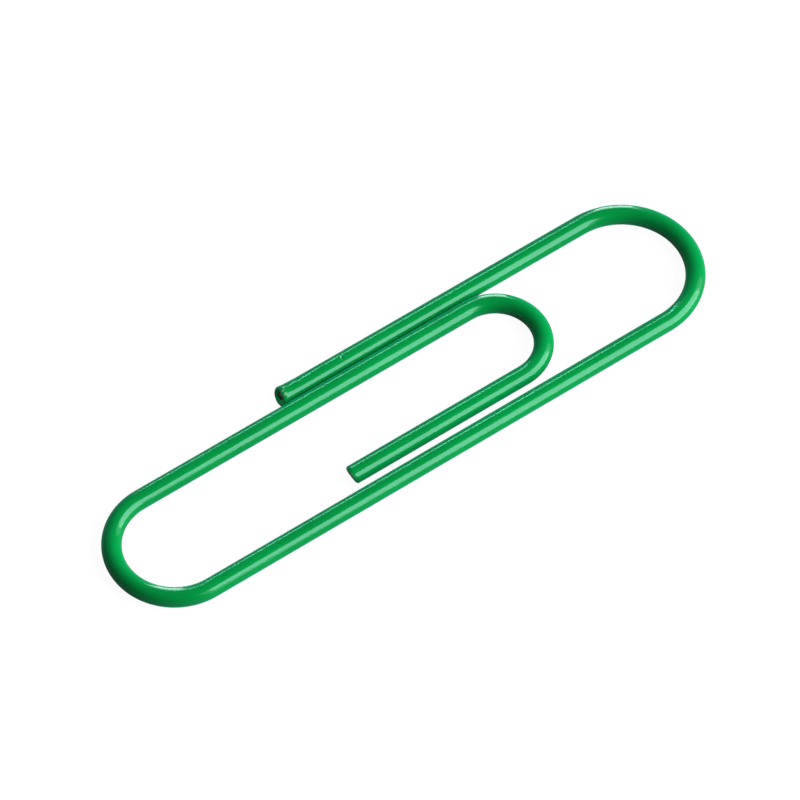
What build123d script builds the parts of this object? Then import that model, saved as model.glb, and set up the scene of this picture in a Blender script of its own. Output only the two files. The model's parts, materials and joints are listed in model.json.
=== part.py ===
from build123d import *
from dataclasses import dataclass
import os

# A coated wire paper clip, lying flat on z = 0 with its big bend towards +X.
# The wire runs from its free end along the free leg, round the big bend, back along the long leg,
# round the end bend, up the tongue, round the tongue's bend and down the tip to its other end.
# The steel core and its vinyl coating are divided at the middle of each bend, where the wire flexes.
# Lengths are in millimetres and angles in degrees.

# Overall sizes
overall_length = 50.0
overall_width = 11.79

# Wire
core_diameter = 1.2
coat_thickness = 0.115

# Legs, and the gaps that the wire leaves between them
free_leg_length = 26.1
tip_length = 14.83
window_length = 11.25
side_gap = 0.03
tongue_gap = 0.65

# Sheared ends: both faces lean by the same angle, because one cut parts two clips
shear_angle = 14.0
core_rounding = 0.1
lip_edge = 0.04
free_end_rounding = 0.1
free_end_recess = 0.15
free_end_mouth = 1.1
free_end_opening = 0.7
tip_end_rounding = 0.17
tip_end_recess = 0.06
tip_end_mouth = 0.9
tip_end_opening = 0.8

# Wire and bend sizes that follow
wire_diameter = core_diameter + 2 * coat_thickness
wire_radius = wire_diameter / 2
big_bend_radius = overall_width / 2 - wire_radius
end_bend_radius = big_bend_radius - (wire_diameter + side_gap) / 2
tongue_bend_radius = end_bend_radius - (wire_diameter + tongue_gap) / 2

# Places of the legs across the clip
free_leg_y = big_bend_radius
long_leg_y = -big_bend_radius
tongue_y = long_leg_y + 2 * end_bend_radius
tip_y = tongue_y - 2 * tongue_bend_radius

# Places of the bends and ends along the clip
big_bend_x = overall_length / 2 - wire_radius - big_bend_radius
end_bend_x = wire_radius + end_bend_radius - overall_length / 2
tongue_bend_x = overall_length / 2 - wire_diameter - window_length - wire_radius - tongue_bend_radius
free_end_x = big_bend_x - free_leg_length
tip_end_x = tongue_bend_x - tip_length

# The ends are swept this much too long and then sheared
overrun = wire_diameter

# Directions that a bend's arc is measured from
QUARTER_TURN = 90
PLUS_X_ANGLE = 0
PLUS_Y_ANGLE = 90
MINUS_X_ANGLE = 180
MINUS_Y_ANGLE = 270


@dataclass
class ShearedEnd:
    """A cut end that faces -X: the core's face lies behind a lip of coating with a funnel through it."""

    place: Vector
    lean: float
    rounding: float
    recess: float
    mouth: float
    opening: float

    def face_direction(self):
        return Vector(-1, 0, 0).rotate(Axis.Y, self.lean)

    def shear(self, rod, depth, rounding):
        """Cuts a rod off at the leaning face, at a depth behind it, and rounds the rim."""
        facing = self.face_direction()
        cut = Plane(self.place - facing * depth, z_dir=facing)
        kept = split(rod, bisect_by=cut, keep=Keep.BOTTOM)
        rim = kept.faces().sort_by(Axis.X)[0].edges()
        return fillet(rim, rounding)

    def lip_opening(self):
        """The hole in the coating's lip that bares the core's face, and the funnel that leads to it."""
        hole = Plane(self.place, z_dir=(-1, 0, 0)) * Cylinder(self.opening / 2, 2 * overrun)
        inwards = Plane(self.place, z_dir=-self.face_direction())
        from_face = (Align.CENTER, Align.CENTER, Align.MIN)
        funnel = inwards * Cone(self.mouth / 2, self.opening / 2, self.recess - lip_edge, align=from_face)
        return hole + funnel


def on_axis(x, y):
    """A point at the height of the wire's axis, for a wire that lies on z = 0."""
    return Vector(x, y, wire_radius)


def quarter_bend(centre, radius, start_angle):
    """Half of a bend: the wire always turns to its right, from the direction of the start."""
    return CenterArc(centre, radius, start_angle, -QUARTER_TURN)


def rod(path, diameter):
    """A round rod along a path: a cylinder for each straight run and a piece of torus for each bend."""
    pieces = []
    for run in path:
        section = Plane(run @ 0, z_dir=run % 0) * Circle(diameter / 2)
        if run.geom_type == GeomType.LINE:
            pieces.append(extrude(section, run.length))
        else:
            turning_right = Axis(run.arc_center, (0, 0, -1))
            pieces.append(revolve(section, turning_right, QUARTER_TURN))
    return Part() + pieces


def coated_wire(path, end=None):
    """The core and the coating along one length of the wire, with a sheared end where it has one."""
    core = rod(path, core_diameter)
    coating = rod(path, wire_diameter)
    if end:
        core = end.shear(core, end.recess, core_rounding)
        coating = end.shear(coating, 0, end.rounding) - end.lip_opening()
    return core, coating - core


# Centres of the three bends
big_bend = on_axis(big_bend_x, (free_leg_y + long_leg_y) / 2)
end_bend = on_axis(end_bend_x, (long_leg_y + tongue_y) / 2)
tongue_bend = on_axis(tongue_bend_x, (tongue_y + tip_y) / 2)

# Routes of the four lengths, each from the middle of one bend to the middle of the next
free_leg_path = [
    Line(on_axis(free_end_x - overrun, free_leg_y), on_axis(big_bend_x, free_leg_y)),
    quarter_bend(big_bend, big_bend_radius, PLUS_Y_ANGLE),
]
long_leg_path = [
    quarter_bend(big_bend, big_bend_radius, PLUS_X_ANGLE),
    Line(on_axis(big_bend_x, long_leg_y), on_axis(end_bend_x, long_leg_y)),
    quarter_bend(end_bend, end_bend_radius, MINUS_Y_ANGLE),
]
tongue_path = [
    quarter_bend(end_bend, end_bend_radius, MINUS_X_ANGLE),
    Line(on_axis(end_bend_x, tongue_y), on_axis(tongue_bend_x, tongue_y)),
    quarter_bend(tongue_bend, tongue_bend_radius, PLUS_Y_ANGLE),
]
tongue_tip_path = [
    quarter_bend(tongue_bend, tongue_bend_radius, PLUS_X_ANGLE),
    Line(on_axis(tongue_bend_x, tip_y), on_axis(tip_end_x - overrun, tip_y)),
]

# The two cut ends
free_end = ShearedEnd(
    place=on_axis(free_end_x, free_leg_y),
    lean=shear_angle,
    rounding=free_end_rounding,
    recess=free_end_recess,
    mouth=free_end_mouth,
    opening=free_end_opening,
)
tip_end = ShearedEnd(
    place=on_axis(tip_end_x, tip_y),
    lean=-shear_angle,
    rounding=tip_end_rounding,
    recess=tip_end_recess,
    mouth=tip_end_mouth,
    opening=tip_end_opening,
)

# The four lengths of coated wire
lengths = {
    "free_leg": coated_wire(free_leg_path, free_end),
    "long_leg": coated_wire(long_leg_path),
    "tongue": coated_wire(tongue_path),
    "tongue_tip": coated_wire(tongue_tip_path, tip_end),
}

os.makedirs("parts", exist_ok=True)
for name, (core, coating) in lengths.items():
    export_step(core, f"parts/{name}_core.step")
    export_step(coating, f"parts/{name}_coating.step")
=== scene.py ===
import json
import math
from dataclasses import dataclass

import bpy
import numpy as np
from mathutils import Matrix, Vector, noise


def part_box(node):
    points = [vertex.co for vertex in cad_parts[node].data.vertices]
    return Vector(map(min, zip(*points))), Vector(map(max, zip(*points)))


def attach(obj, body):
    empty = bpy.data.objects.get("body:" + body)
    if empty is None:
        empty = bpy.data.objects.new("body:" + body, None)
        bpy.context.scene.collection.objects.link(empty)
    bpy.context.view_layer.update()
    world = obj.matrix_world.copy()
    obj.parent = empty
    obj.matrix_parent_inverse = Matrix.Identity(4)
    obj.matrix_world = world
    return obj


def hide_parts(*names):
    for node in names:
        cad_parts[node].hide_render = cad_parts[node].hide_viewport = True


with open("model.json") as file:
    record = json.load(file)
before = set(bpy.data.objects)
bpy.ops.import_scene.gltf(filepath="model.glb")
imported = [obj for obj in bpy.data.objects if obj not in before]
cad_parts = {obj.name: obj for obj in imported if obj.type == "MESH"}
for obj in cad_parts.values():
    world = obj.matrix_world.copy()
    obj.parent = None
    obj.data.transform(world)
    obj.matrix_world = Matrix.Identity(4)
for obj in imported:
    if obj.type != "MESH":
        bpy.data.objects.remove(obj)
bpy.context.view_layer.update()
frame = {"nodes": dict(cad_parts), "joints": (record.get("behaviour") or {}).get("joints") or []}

# The looks of a paper clip of vinyl coated wire, lying on a white floor with its big bend towards +X.
# Each length of coating is a closed tube, and each length of wire with a cut end is a closed rod.
# Lengths are in metres and angles in radians, and sizes come from the frame where it has them.

MM = 0.001
QUARTER_TURN = math.pi / 2
HALF_TURN = math.pi
FULL_TURN = 2 * math.pi

# Fineness of the meshes
SIDES = 144
BEND_STEPS = 40
LEG_STEP = 1.5 * MM
SEAM_STEP = 0.002 * MM
LEAN_STEPS = 14
CORNER_STEPS = 8
EDGE_STEPS = 6
FACE_STEPS = 16
NICK_STEPS = 33

# Cut ends: both faces lean by the same angle, and the wire is true again this far behind them
SHEAR_LEAN = math.radians(14)
LEAN_LENGTH = 1.6 * MM

# The core's rounded shoulder, and the round edge of the lip that lies on the core's face
CORE_ROUNDING = 0.1 * MM
LIP_EDGE = 0.04 * MM
EDGE_RADIUS = LIP_EDGE / 2

# Places of the rings up a lip's funnel, and across its flat rim
FUNNEL_SHARES = 0.25, 0.5, 0.75
RIM_SHARES = 0, 0.5

# Waves round a ragged opening, and how far the funnel's mouth follows the opening's raggedness and shift
WAVE_SHARES = 0.5, 0.3, 0.2
WAVE_COUNTS = 2, 3, 7
WAVE_TURNS = 0.7, 2.1, 0.0
MOUTH_TURN = 1.3
MOUTH_RAGGED_SHARE = 1 / 3
MOUTH_SHIFT_SHARE = 1 / 2

# A rim that the shears have spread towards one side, and torn at two places, each an angle and a width
FLARE_ANGLE = math.radians(45)
FLARE_LENGTH = 0.6 * MM
TEARS = (math.radians(90), math.radians(5)), (math.radians(113), math.radians(8))
TEAR_LENGTH = 0.25 * MM
SCRAP_SHARE = 0.5

# The core's sheared face: grain where the steel broke, and a burr where the shears left it
FACE_START_SHARE = 0.05
GRAIN_HEIGHT = 0.02 * MM
GRAIN_SIZE = 0.09 * MM
BURR_ANGLE = math.radians(128)
BURR_PLACE = 0.36 * MM
BURR_RADIUS = 0.09 * MM
BURR_HEIGHT = 0.12 * MM

# Powers by which the dish, the grain and the burr fade towards the face's edge
DISH_FADE = 2
GRAIN_FADE = 4
BURR_FADE = 6

# A nick in the free leg's coating: its place along the leg, its angle over the wire's top, and its sizes
NICK_X = -1.73 * MM
NICK_ANGLE = math.radians(96)
NICK_RADIUS = 0.07 * MM
NICK_REACH = 4 * NICK_RADIUS
NICK_DEPTH = 0.06 * MM

# The burr beside the nick, and its place in shares of the nick's radius along the leg and across it
NICK_BURR_HEIGHT = 0.06 * MM
NICK_BURR_SHARES = Vector((-0.8, -1.7, 0))

# Camera: a long lens at the photograph's viewing angle
CAMERA_AZIMUTH = math.radians(-35.11)
CAMERA_ELEVATION = math.radians(55.55)
CAMERA_DISTANCE = 492.35 * MM
CAMERA_AIM = Vector((-0.1606 * MM, 0.1892 * MM, 0.715 * MM))
CAMERA_LENS = 315
CAMERA_SENSOR = 36

# Floor and surroundings: the light they give, what the camera sees, and the share of it that gloss shows
FLOOR_HALF = 1.5
FLOOR_BOUNCE = 0.18
FLOOR_SHADOW = 0.12
FLOOR_GLOW = 0.95
FLOOR_MIRRORED_SHARE = 0.05
WORLD_STRENGTH = 0.05
WORLD_MIRRORED_SHARE = 0.02

# Colours of the lamps
WHITE = (1, 1, 1)
MINT = (0.4, 1.0, 0.7)


def joint_place(name):
    """The middle of a bend, where the frame has the joint."""
    return next(Vector(joint["pos_m"]) for joint in frame["joints"] if joint["name"] == name)


# Wire sizes
coat_low, coat_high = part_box("long_leg_coating")
core_low, core_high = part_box("long_leg_core")
WIRE_RADIUS = (coat_high.z - coat_low.z) / 2
CORE_RADIUS = (core_high.z - core_low.z) / 2
AXIS_HEIGHT = coat_low.z + WIRE_RADIUS

# Places of the four legs across the clip
FREE_LEG_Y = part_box("free_leg_coating")[1].y - WIRE_RADIUS
LONG_LEG_Y = coat_low.y + WIRE_RADIUS
TONGUE_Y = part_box("tongue_coating")[1].y - WIRE_RADIUS
TIP_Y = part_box("tongue_tip_coating")[0].y + WIRE_RADIUS

# Radii and centres of the three bends
BIG_BEND_RADIUS = (FREE_LEG_Y - LONG_LEG_Y) / 2
END_BEND_RADIUS = (TONGUE_Y - LONG_LEG_Y) / 2
TONGUE_BEND_RADIUS = (TONGUE_Y - TIP_Y) / 2
BIG_BEND = joint_place("free_leg_flex") - Vector((BIG_BEND_RADIUS, 0, 0))
END_BEND = joint_place("tongue_flex") + Vector((END_BEND_RADIUS, 0, 0))
TONGUE_BEND = joint_place("tip_flex") - Vector((TONGUE_BEND_RADIUS, 0, 0))

# Directions round a bend, seen from its centre
TO_PLUS_X = 0
TO_PLUS_Y = QUARTER_TURN
TO_MINUS_X = 2 * QUARTER_TURN
TO_MINUS_Y = 3 * QUARTER_TURN

# Angles of the points round a ring, from the wire's left side over its top
AROUND = np.linspace(0, FULL_TURN, SIDES, endpoint=False)

# How far each point round a ring belongs to a torn scrap of the rim, from 0 to 1
TORN_SHARES = sum(np.exp(-(((AROUND - angle) / width) ** 2)) for angle, width in TEARS)


def ring(station, radius):
    """A ring of points square to the wire at a station, which is x, y and heading."""
    x, y, heading = station
    left = radius * np.cos(AROUND)
    up = radius * np.sin(AROUND)
    xs = x - left * math.sin(heading)
    ys = y + left * math.cos(heading)
    return np.stack([xs, ys, AXIS_HEIGHT + up], axis=1)


def uneven(share, turned=0.0):
    """A gently uneven factor for each point of a ring, about 1."""
    waves = zip(WAVE_SHARES, WAVE_COUNTS, WAVE_TURNS)
    return 1 + share * sum(size * np.sin(count * AROUND + turn + turned) for size, count, turn in waves)


def shifted_circle(radius, shift):
    """The reach of a circle from the wire's axis, when the shears have pushed it towards the flare."""
    from_flare = AROUND - FLARE_ANGLE
    sideways = shift * np.sin(from_flare)
    return shift * np.cos(from_flare) + np.sqrt(radius**2 - sideways**2)


@dataclass
class CutEnd:
    """A sheared end that faces -X: a lip of coating, with a funnel through it, round the core's bare face.

    The node's rim has the rounding, and the rim that shows is rolled a little further. The recess is the
    depth of the core's face, the shift moves the opening off the axis, the dish hollows the face, and the
    tear is the reach of the rim's torn scraps.
    """

    coating: str
    y: float
    lean: float
    rounding: float
    roll: float
    recess: float
    mouth: float
    opening: float
    shift: float
    dish: float
    tear: float
    ragged_share: float
    flare_share: float

    def __post_init__(self):
        self.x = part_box(self.coating)[0].x + self.rim_reach()
        opening = shifted_circle(self.opening, self.shift) * uneven(self.ragged_share)
        self.opening_reach = np.minimum(opening, CORE_RADIUS - CORE_ROUNDING - EDGE_RADIUS)
        mouth = shifted_circle(self.mouth, self.shift * MOUTH_SHIFT_SHARE)
        self.mouth_reach = mouth * uneven(self.ragged_share * MOUTH_RAGGED_SHARE, MOUTH_TURN)

    def rim_reach(self):
        """How far the face's middle lies behind the node's rounded rim at the side that leans out."""
        leaning_out = math.tan(abs(self.lean)) * (WIRE_RADIUS - self.rounding)
        return leaning_out - self.rounding * (1 / math.cos(self.lean) - 1)

    def ring(self, depth, radius):
        """A ring at a depth behind the face, leaning with it. Either may be given for each point."""
        points = ring((self.x, self.y, 0), radius)
        fade = np.clip(1 - np.asarray(depth) / LEAN_LENGTH, 0, 1)
        points[:, 0] += depth + math.tan(self.lean) * fade * (points[:, 2] - AXIS_HEIGHT)
        return points

    def flared_ring(self, depth, radius):
        """A ring that the shears have spread towards the flare, with torn scraps."""
        towards_flare = np.clip(np.cos(AROUND - FLARE_ANGLE), 0, 1)
        spread = self.flare_share * towards_flare * math.exp(-depth / FLARE_LENGTH)
        points = self.ring(depth, radius * (1 + spread))
        points[:, 0] -= self.tear * TORN_SHARES * math.exp(-depth / TEAR_LENGTH)
        return points


FREE_END = CutEnd(
    coating="free_leg_coating",
    y=FREE_LEG_Y,
    lean=SHEAR_LEAN,
    rounding=0.1 * MM,
    roll=0.18 * MM,
    recess=0.15 * MM,
    mouth=0.46 * MM,
    opening=0.34 * MM,
    shift=0.14 * MM,
    dish=0.06 * MM,
    tear=0.08 * MM,
    ragged_share=0.05,
    flare_share=0.15,
)
TIP_END = CutEnd(
    coating="tongue_tip_coating",
    y=TIP_Y,
    lean=-SHEAR_LEAN,
    rounding=0.17 * MM,
    roll=0.19 * MM,
    recess=0.06 * MM,
    mouth=0.45 * MM,
    opening=0.4 * MM,
    shift=0,
    dish=-0.06 * MM,
    tear=0,
    ragged_share=0.08,
    flare_share=0,
)
CUT_ENDS = {"free_leg": FREE_END, "tongue_tip": TIP_END}


def leg(x_start, x_end, y, extra=()):
    """Stations along a straight leg without its last point, with extra places where it needs detail."""
    count = math.ceil(abs(x_end - x_start) / LEG_STEP)
    places = np.append(np.linspace(x_start, x_end, count, endpoint=False), extra)
    heading = 0 if x_end > x_start else HALF_TURN
    return [(x, y, heading) for x in sorted(places, reverse=x_end < x_start)]


def bend(centre, radius, start, turn, seam_at_start=False, seam_at_end=False):
    """Stations round half of a bend, with a close second one beside a face that divides the wire."""
    shares = list(np.linspace(0, 1, BEND_STEPS + 1))
    close = SEAM_STEP / (radius * abs(turn))
    if seam_at_start:
        shares.insert(1, close)
    if seam_at_end:
        shares.insert(-1, 1 - close)
    else:
        shares.pop()
    square = math.copysign(QUARTER_TURN, turn)
    angles = [start + turn * share for share in shares]
    return [
        (centre.x + radius * math.cos(a), centre.y + radius * math.sin(a), a + square) for a in angles
    ]


# Each length of wire starts at its cut end, if it has one, and ends at the middle of a bend
nick_places = np.linspace(NICK_X - NICK_REACH, NICK_X + NICK_REACH, NICK_STEPS)
ROUTES = {
    "free_leg": leg(FREE_END.x + LEAN_LENGTH, BIG_BEND.x, FREE_LEG_Y, extra=nick_places)
    + bend(BIG_BEND, BIG_BEND_RADIUS, TO_PLUS_Y, -QUARTER_TURN, seam_at_end=True),
    "long_leg": bend(BIG_BEND, BIG_BEND_RADIUS, TO_PLUS_X, -QUARTER_TURN, seam_at_start=True)
    + leg(BIG_BEND.x, END_BEND.x, LONG_LEG_Y)
    + bend(END_BEND, END_BEND_RADIUS, TO_MINUS_Y, -QUARTER_TURN, seam_at_end=True),
    "tongue": bend(END_BEND, END_BEND_RADIUS, TO_MINUS_X, -QUARTER_TURN, seam_at_start=True)
    + leg(END_BEND.x, TONGUE_BEND.x, TONGUE_Y)
    + bend(TONGUE_BEND, TONGUE_BEND_RADIUS, TO_PLUS_Y, -QUARTER_TURN, seam_at_end=True),
    "tongue_tip": leg(TIP_END.x + LEAN_LENGTH, TONGUE_BEND.x, TIP_Y)
    + bend(TONGUE_BEND, TONGUE_BEND_RADIUS, TO_MINUS_Y, QUARTER_TURN, seam_at_end=True),
}


def rounded_corner():
    """Sine and cosine through a quarter turn."""
    return [(math.sin(a), math.cos(a)) for a in np.linspace(0, QUARTER_TURN, CORNER_STEPS)]


def shoulder_rings(end):
    """Rings over the core's rounded shoulder, from its side to its face."""
    return [
        end.ring(end.recess + CORE_ROUNDING * (1 - rise), CORE_RADIUS - CORE_ROUNDING * (1 - run))
        for rise, run in rounded_corner()
    ]


def lip_rings(end):
    """Rings from the core's face over the lip's edge, up the funnel and round the rim to the outside."""
    rings = []
    for a in np.linspace(0, HALF_TURN, EDGE_STEPS):
        depth = end.recess - EDGE_RADIUS * (1 - math.cos(a))
        rings.append(end.ring(depth, end.opening_reach + EDGE_RADIUS * (1 - math.sin(a))))
    funnel_depth = end.recess - LIP_EDGE
    funnel_start = end.opening_reach + EDGE_RADIUS
    for share in FUNNEL_SHARES:
        width = funnel_start + share * (end.mouth_reach - funnel_start)
        rings.append(end.flared_ring(funnel_depth * (1 - share), width))
    rim_start = WIRE_RADIUS - end.roll
    for share in RIM_SHARES:
        rings.append(end.flared_ring(0, end.mouth_reach + share * (rim_start - end.mouth_reach)))
    for rise, run in reversed(rounded_corner()):
        rings.append(end.flared_ring(end.roll * (1 - rise), rim_start + end.roll * run))
    return rings


# Places of the coating's looks in its list of materials. The cut look is paler partly as painted light,
# and the whitened look is partly a painted glint
SKIN, CUT_AND_PAINTED_LIGHT, WHITENED_AND_GLINT = range(3)

# Outer steps of a rim that still have their skin, and that are torn into scraps
SKIN_STEPS = 3
SCRAP_STEPS = 5


def coat_rings(name):
    """Rings along one length of coating and back along its bore, its flat bands and its faces' looks."""
    outside = [ring(station, WIRE_RADIUS) for station in ROUTES[name]]
    bore = [ring(station, CORE_RADIUS) for station in reversed(ROUTES[name])]
    end = CUT_ENDS.get(name)
    if not end:
        flat_bands = {len(outside) - 1, len(outside) + len(bore) - 1}
        return outside + bore, flat_bands, np.full((len(outside + bore), SIDES), SKIN)
    depths = np.linspace(end.roll, LEAN_LENGTH, LEAN_STEPS, endpoint=False)[1:]
    outside = [end.flared_ring(depth, WIRE_RADIUS) for depth in depths] + outside
    behind_shoulder = [depth for depth in reversed(depths) if depth > end.recess + CORE_ROUNDING]
    bore += [end.ring(depth, CORE_RADIUS) for depth in behind_shoulder] + shoulder_rings(end)
    rings = outside + bore + lip_rings(end)
    looks = np.full((len(rings), SIDES), SKIN)
    # Cut faces take the paler cut vinyl, brightened partly as painted light on ends that the lamps light
    # only dimly
    looks[len(outside + bore) - 1 : -SKIN_STEPS] = CUT_AND_PAINTED_LIGHT
    if end.tear:
        # The torn scraps take pale whitened vinyl, a painted glint on the rolled rim as well as
        # stress-whitening
        looks[-SCRAP_STEPS:, TORN_SHARES > SCRAP_SHARE] = WHITENED_AND_GLINT
    return rings, {len(outside) - 1}, looks


def bridge(rings, closed):
    """Quads between neighbouring rings, and between the last and the first where the rings close."""
    first = np.arange(len(rings) if closed else len(rings) - 1)[:, None] * SIDES
    following = (first + SIDES) % (len(rings) * SIDES)
    here = np.arange(SIDES)[None, :]
    there = np.roll(here, -1, axis=1)
    quads = np.stack([first + here, first + there, following + there, following + here], axis=2)
    return quads.reshape(-1, 4).tolist()


def closed_tube(name, rings, flat_bands, looks):
    """A mesh of rings that close on each other both ways round."""
    mesh = bpy.data.meshes.new(name)
    mesh.from_pydata(np.concatenate(rings).tolist(), [], bridge(rings, closed=True))
    smooth = np.repeat([band not in flat_bands for band in range(len(rings))], SIDES)
    mesh.polygons.foreach_set("use_smooth", smooth)
    mesh.polygons.foreach_set("material_index", looks.ravel())
    return mesh


def press_nick(mesh):
    """Dents the free leg's outside at the nick, and raises a burr beside the dent in pale vinyl, a painted
    glint as well as stress-whitening.
    """
    centre = Vector((NICK_X, FREE_LEG_Y, AXIS_HEIGHT))
    along = Vector((1, 0, 0))
    up = Vector((0, math.cos(NICK_ANGLE), math.sin(NICK_ANGLE)))
    across = along.cross(up)

    def from_nick(place):
        """Whether a place is on the outside, and its way from the dent and from the burr in nick radii."""
        offset = place - centre
        from_dent = Vector((offset.dot(along), offset.dot(across), 0)) / NICK_RADIUS
        return offset.dot(up) > CORE_RADIUS, from_dent, from_dent - NICK_BURR_SHARES

    for face in mesh.polygons:
        outside, _, from_burr = from_nick(face.center)
        if outside and from_burr.length < 1:
            face.material_index = WHITENED_AND_GLINT
    for vertex in mesh.vertices:
        outside, from_dent, from_burr = from_nick(vertex.co)
        if outside:
            dent = NICK_DEPTH * math.exp(-from_dent.length_squared)
            burr = NICK_BURR_HEIGHT * math.exp(-from_burr.length_squared)
            vertex.co += up * (burr - dent)


def face_rings(end):
    """Rings across the core's sheared face, from its middle to its shoulder."""
    reach = CORE_RADIUS - CORE_ROUNDING
    burr_left = BURR_PLACE * math.cos(BURR_ANGLE)
    burr_up = BURR_PLACE * math.sin(BURR_ANGLE)
    rings = []
    for share in np.linspace(FACE_START_SHARE, 1, FACE_STEPS, endpoint=False):
        radius = share * reach
        left = radius * np.cos(AROUND)
        up = radius * np.sin(AROUND)
        grain = [noise.noise(Vector((a, b, 0)) / GRAIN_SIZE) for a, b in zip(left, up)]
        from_burr = np.hypot(left - burr_left, up - burr_up)
        burr = BURR_HEIGHT * np.exp(-((from_burr / BURR_RADIUS) ** 2))
        dish = end.dish * (1 - share**DISH_FADE)
        relief = (1 - share**GRAIN_FADE) * GRAIN_HEIGHT * np.array(grain)
        rings.append(end.ring(end.recess + dish + relief - burr * (1 - share**BURR_FADE), radius))
    return rings


def core_rod(name, body):
    """A closed rod of core from its sheared face to the middle of the bend."""
    end = CUT_ENDS[body]
    depths = np.linspace(end.recess + CORE_ROUNDING, LEAN_LENGTH, LEAN_STEPS, endpoint=False)[1:]
    rings = face_rings(end) + shoulder_rings(end)[::-1]
    rings += [end.ring(depth, CORE_RADIUS) for depth in depths]
    rings += [ring(station, CORE_RADIUS) for station in ROUTES[body]]
    middle = list(range(SIDES))[::-1]
    seam = [(len(rings) - 1) * SIDES + i for i in range(SIDES)]
    mesh = bpy.data.meshes.new(name)
    mesh.from_pydata(np.concatenate(rings).tolist(), [], bridge(rings, closed=False) + [middle, seam])
    mesh.polygons.foreach_set("use_smooth", [True] * (len(mesh.polygons) - 1) + [False])
    return mesh


def add_piece(name, mesh, body, node, materials):
    """Puts a mesh in the scene as a piece of one body that stands for one CAD node."""
    for material in materials:
        mesh.materials.append(material)
    piece = bpy.data.objects.new(name, mesh)
    bpy.context.scene.collection.objects.link(piece)
    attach(piece, body)
    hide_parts(node)


def grey(value):
    return (value, value, value)


def opaque(colour):
    return (*colour, 1)


# Values of the noise between which a ramp runs
RAMP_START = 0.35
RAMP_STOP = 0.65


class Surface:
    """A node material with a Principled shader, and short ways to add procedural detail to it."""

    def __init__(self, name):
        self.material = bpy.data.materials.new(name)
        self.material.use_nodes = True
        self.nodes = self.material.node_tree.nodes
        self.links = self.material.node_tree.links
        self.shader = self.nodes["Principled BSDF"]
        self.place = self.nodes.new("ShaderNodeTexCoord").outputs["Object"]

    def set(self, socket, value):
        """Gives a shader socket one value all over the surface."""
        self.shader.inputs[socket].default_value = value

    def noise(self, size, detail, stretch=1.0):
        """Noise with grains of a size, stretched along the legs."""
        mapping = self.nodes.new("ShaderNodeMapping")
        mapping.inputs["Scale"].default_value = (1 / stretch, 1, 1)
        self.links.new(self.place, mapping.inputs["Vector"])
        texture = self.nodes.new("ShaderNodeTexNoise")
        texture.inputs["Scale"].default_value = 1 / size
        texture.inputs["Detail"].default_value = detail
        self.links.new(mapping.outputs["Vector"], texture.inputs["Vector"])
        return texture.outputs["Fac"]

    def ramp(self, value, socket, low, high):
        """Runs a shader socket from one colour or grey to another as a value rises."""
        ramp = self.nodes.new("ShaderNodeValToRGB")
        ramp.color_ramp.elements[0].position = RAMP_START
        ramp.color_ramp.elements[0].color = opaque(low)
        ramp.color_ramp.elements[1].position = RAMP_STOP
        ramp.color_ramp.elements[1].color = opaque(high)
        self.links.new(value, ramp.inputs["Fac"])
        self.links.new(ramp.outputs["Color"], self.shader.inputs[socket])

    def bump(self, value, height, below=None):
        """Raises the surface by a value, over another bump if there is one."""
        bump = self.nodes.new("ShaderNodeBump")
        bump.inputs["Distance"].default_value = height
        self.links.new(value, bump.inputs["Height"])
        if below:
            self.links.new(below, bump.inputs["Normal"])
        self.links.new(bump.outputs["Normal"], self.shader.inputs["Normal"])
        return bump.outputs["Normal"]


# Colours of the vinyl's gloss, and of the sheen along its outlines
GLOSS_TINT = (0.55, 1.0, 1.0)
SHEEN_TINT = (0.0, 1.0, 0.7)


def vinyl():
    """Glossy green vinyl: faint mottling, scuffs along the legs, and an extruded skin's orange peel."""
    surface = Surface("vinyl_skin")
    mottling = surface.noise(size=4 * MM, detail=3)
    surface.ramp(mottling, "Base Color", low=(0.0, 0.28, 0.049), high=(0.0, 0.315, 0.056))
    scuffs = surface.noise(size=0.25 * MM, detail=3, stretch=12)
    surface.ramp(scuffs, "Roughness", low=grey(0.09), high=grey(0.14))
    peel = surface.bump(surface.noise(size=0.9 * MM, detail=1), height=0.007 * MM)
    hairlines = surface.noise(size=0.12 * MM, detail=2, stretch=8)
    surface.bump(hairlines, height=0.0005 * MM, below=peel)
    surface.set("IOR", 1.5)
    surface.set("Specular Tint", opaque(GLOSS_TINT))
    surface.set("Sheen Weight", 0.8)
    surface.set("Sheen Roughness", 0.4)
    surface.set("Sheen Tint", opaque(SHEEN_TINT))
    return surface.material


def cut_vinyl_and_painted_light():
    """Vinyl where the shears went through it: torn, so it is dull, and paler green, partly as torn vinyl
    and partly as painted light on dimly lit cut ends.
    """
    surface = Surface("vinyl_cut_and_painted_light")
    blotches = surface.noise(size=0.15 * MM, detail=3)
    surface.ramp(blotches, "Base Color", low=(0.0, 0.62, 0.15), high=(0.01, 0.85, 0.24))
    surface.ramp(surface.noise(size=0.1 * MM, detail=2), "Roughness", low=grey(0.3), high=grey(0.55))
    surface.bump(surface.noise(size=0.08 * MM, detail=2), height=0.01 * MM)
    surface.set("Specular Tint", opaque(GLOSS_TINT))
    return surface.material


def whitened_vinyl_and_glint():
    """Vinyl that has paled where it was torn and stretched, and that also stands as a painted glint on the
    torn scraps and the nick's burr.
    """
    surface = Surface("vinyl_whitened_and_glint")
    blotches = surface.noise(size=0.1 * MM, detail=2)
    surface.ramp(blotches, "Base Color", low=(0.03, 0.38, 0.13), high=(0.16, 0.50, 0.28))
    surface.ramp(blotches, "Roughness", low=grey(0.35), high=grey(0.6))
    return surface.material


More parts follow.
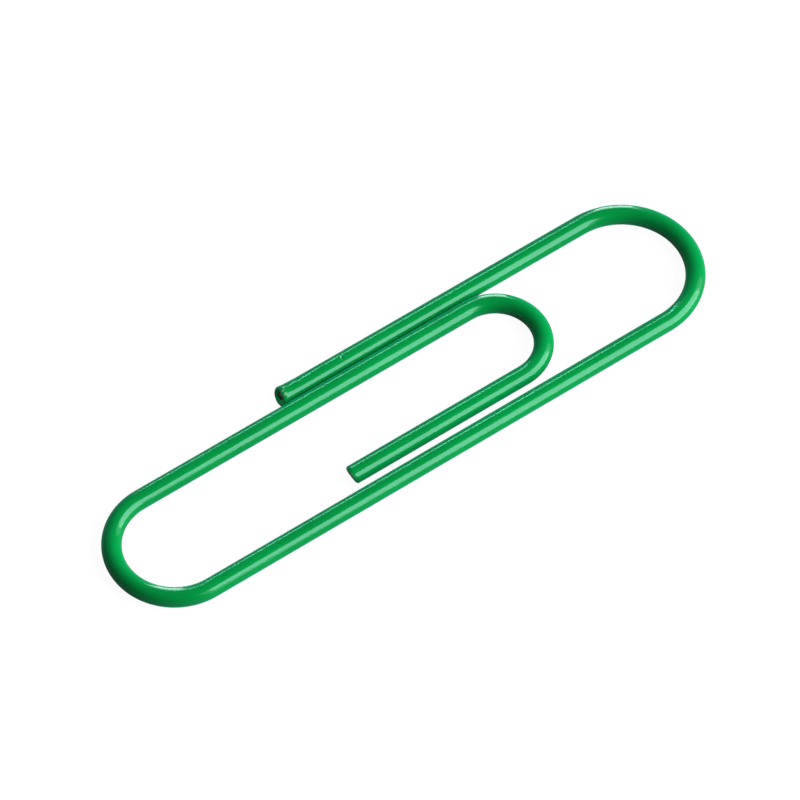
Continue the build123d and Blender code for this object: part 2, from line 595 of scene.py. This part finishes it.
def steel(name, dull, bright, metallic):
    """Drawn steel, grey with brown patches, and rough where it broke."""
    surface = Surface(name)
    surface.ramp(surface.noise(size=0.2 * MM, detail=4), "Base Color", low=dull, high=bright)
    surface.ramp(surface.noise(size=0.12 * MM, detail=3), "Roughness", low=grey(0.3), high=grey(0.6))
    surface.bump(surface.noise(size=0.05 * MM, detail=3), height=0.008 * MM)
    surface.set("Metallic", metallic)
    return surface.material


VINYL = vinyl()
COAT_LOOKS = [VINYL, cut_vinyl_and_painted_light(), whitened_vinyl_and_glint()]
STEEL = steel("steel_wire", dull=(0.14, 0.12, 0.10), bright=(0.45, 0.42, 0.38), metallic=1)
# The tip's sheared face is pale, partly diffuse steel: fresh bright steel and painted light on a face that
# the lamps light only dimly
SHORN_STEEL_AND_PAINTED_LIGHT = steel("steel_shorn_and_painted_light", dull=(0.55, 0.51, 0.46), bright=(0.9, 0.87, 0.82), metallic=0.35)

for body in ROUTES:
    coat = closed_tube(f"{body}_vinyl", *coat_rings(body))
    if body == "free_leg":
        press_nick(coat)
    coat_looks = COAT_LOOKS if body in CUT_ENDS else [VINYL]
    add_piece(f"{body}_vinyl", coat, body, f"{body}_coating", coat_looks)
    if body in CUT_ENDS:
        rod = core_rod(f"{body}_wire", body)
        face_steel = SHORN_STEEL_AND_PAINTED_LIGHT if body == "tongue_tip" else STEEL
        add_piece(f"{body}_wire", rod, body, f"{body}_core", [face_steel])
    else:
        core = frame["nodes"][f"{body}_core"]
        core.data.materials.clear()
        core.data.materials.append(STEEL)


def direction(azimuth, elevation):
    """Unit vector from the clip towards a place seen at that azimuth and elevation."""
    level = math.cos(elevation)
    return Vector((math.sin(azimuth) * level, -math.cos(azimuth) * level, math.sin(elevation)))


def facing(towards):
    """The turn of a camera or lamp in that direction that looks back at the clip."""
    return towards.to_track_quat("Z", "Y").to_matrix()


def soft_box(
    name, azimuth, elevation, distance, width, height, radiance,
    roll=0, colour=WHITE, lighting=True, mirrored=True,
):
    """A flat lamp that faces the clip, placed by the angle in degrees round from the camera.

    One that isn't lighting shows in gloss alone, and one that isn't mirrored shows in no gloss.
    """
    lamp = bpy.data.lights.new(name, "AREA")
    lamp.shape = "RECTANGLE"
    lamp.color = colour
    lamp.size = width
    lamp.size_y = height
    lamp.energy = radiance * math.pi * width * height
    holder = bpy.data.objects.new(name, lamp)
    towards = direction(CAMERA_AZIMUTH + math.radians(azimuth), math.radians(elevation))
    holder.location = towards * distance
    holder.rotation_euler = (facing(towards) @ Matrix.Rotation(math.radians(roll), 3, "Z")).to_euler()
    holder.visible_camera = False
    holder.visible_diffuse = lighting
    holder.visible_glossy = mirrored
    bpy.context.scene.collection.objects.link(holder)


def background_share(tree, mirrored_share):
    """One for what the camera sees directly, and a share for what gloss and glass show of it."""
    path = tree.nodes.new("ShaderNodeLightPath")
    mirrored = tree.nodes.new("ShaderNodeMath")
    mirrored.operation = "ADD"
    tree.links.new(path.outputs["Is Glossy Ray"], mirrored.inputs[0])
    tree.links.new(path.outputs["Is Transmission Ray"], mirrored.inputs[1])
    share = tree.nodes.new("ShaderNodeMath")
    share.operation = "MULTIPLY_ADD"
    share.inputs[1].default_value = mirrored_share
    tree.links.new(mirrored.outputs[0], share.inputs[0])
    tree.links.new(path.outputs["Is Camera Ray"], share.inputs[2])
    return share.outputs[0]


def floor_material():
    """A floor that looks white to the camera, with a pale shadow, and gives back a little light."""
    material = bpy.data.materials.new("floor_white")
    material.use_nodes = True
    tree = material.node_tree
    tree.nodes.clear()
    lit = tree.nodes.new("ShaderNodeBsdfDiffuse")
    lit.inputs["Color"].default_value = opaque(grey(FLOOR_BOUNCE))
    shaded = tree.nodes.new("ShaderNodeBsdfDiffuse")
    shaded.inputs["Color"].default_value = opaque(grey(FLOOR_SHADOW))
    glow = tree.nodes.new("ShaderNodeEmission")
    glow.inputs["Strength"].default_value = FLOOR_GLOW
    seen = tree.nodes.new("ShaderNodeAddShader")
    tree.links.new(shaded.outputs[0], seen.inputs[0])
    tree.links.new(glow.outputs[0], seen.inputs[1])
    mix = tree.nodes.new("ShaderNodeMixShader")
    tree.links.new(background_share(tree, FLOOR_MIRRORED_SHARE), mix.inputs[0])
    tree.links.new(lit.outputs[0], mix.inputs[1])
    tree.links.new(seen.outputs[0], mix.inputs[2])
    out = tree.nodes.new("ShaderNodeOutputMaterial")
    tree.links.new(mix.outputs[0], out.inputs["Surface"])
    return material


def white_floor():
    """A wide square floor under the clip."""
    mesh = bpy.data.meshes.new("floor")
    near, far = -FLOOR_HALF, FLOOR_HALF
    mesh.from_pydata([(near, near, 0), (far, near, 0), (far, far, 0), (near, far, 0)], [], [(0, 1, 2, 3)])
    mesh.materials.append(floor_material())
    floor = bpy.data.objects.new("floor", mesh)
    bpy.context.scene.collection.objects.link(floor)


def studio_world():
    """Dim surroundings that look white behind the floor's edge."""
    world = bpy.data.worlds.new("studio")
    world.use_nodes = True
    tree = world.node_tree
    dim = tree.nodes["Background"]
    dim.inputs["Color"].default_value = opaque(WHITE)
    dim.inputs["Strength"].default_value = WORLD_STRENGTH
    white = tree.nodes.new("ShaderNodeBackground")
    white.inputs["Color"].default_value = opaque(WHITE)
    mix = tree.nodes.new("ShaderNodeMixShader")
    tree.links.new(background_share(tree, WORLD_MIRRORED_SHARE), mix.inputs[0])
    tree.links.new(dim.outputs[0], mix.inputs[1])
    tree.links.new(white.outputs[0], mix.inputs[2])
    tree.links.new(mix.outputs[0], tree.nodes["World Output"].inputs["Surface"])
    bpy.context.scene.world = world


def camera():
    """The camera at the photograph's viewing angle."""
    lens = bpy.data.cameras.new("camera")
    lens.lens = CAMERA_LENS
    lens.sensor_width = CAMERA_SENSOR
    holder = bpy.data.objects.new("camera", lens)
    towards = direction(CAMERA_AZIMUTH, CAMERA_ELEVATION)
    holder.location = CAMERA_AIM + towards * CAMERA_DISTANCE
    holder.rotation_euler = facing(towards).to_euler()
    bpy.context.scene.collection.objects.link(holder)
    bpy.context.scene.camera = holder


def lamps():
    """A large key on the right in a dimmer halo, panels behind for the glints, and two weak fills."""
    soft_box("key", azimuth=80, elevation=26.6, distance=0.6, width=0.62, height=0.60, radiance=4.8)
    soft_box("key_halo", azimuth=80, elevation=25, distance=0.7, width=1.1, height=0.8, radiance=1.2)
    soft_box("back", azimuth=180, elevation=10.5, distance=0.95, width=0.2, height=0.31, radiance=10)
    soft_box(
        "back_rise", azimuth=180, elevation=28, distance=0.95, width=0.2, height=0.27, radiance=7,
        lighting=False,
    )
    soft_box(
        "strip", azimuth=192.5, elevation=31.5, distance=0.95, width=0.03, height=0.51, radiance=15,
        roll=25.5, colour=MINT,
    )
    soft_box(
        "left_fill", azimuth=-105, elevation=28, distance=0.9, width=0.9, height=0.6, radiance=0.42,
        mirrored=False,
    )
    soft_box(
        "overhead", azimuth=180, elevation=65, distance=0.8, width=0.8, height=0.8, radiance=0.2,
        mirrored=False,
    )


white_floor()
studio_world()
camera()
lamps()
bpy.context.scene.view_settings.view_transform = "Standard"
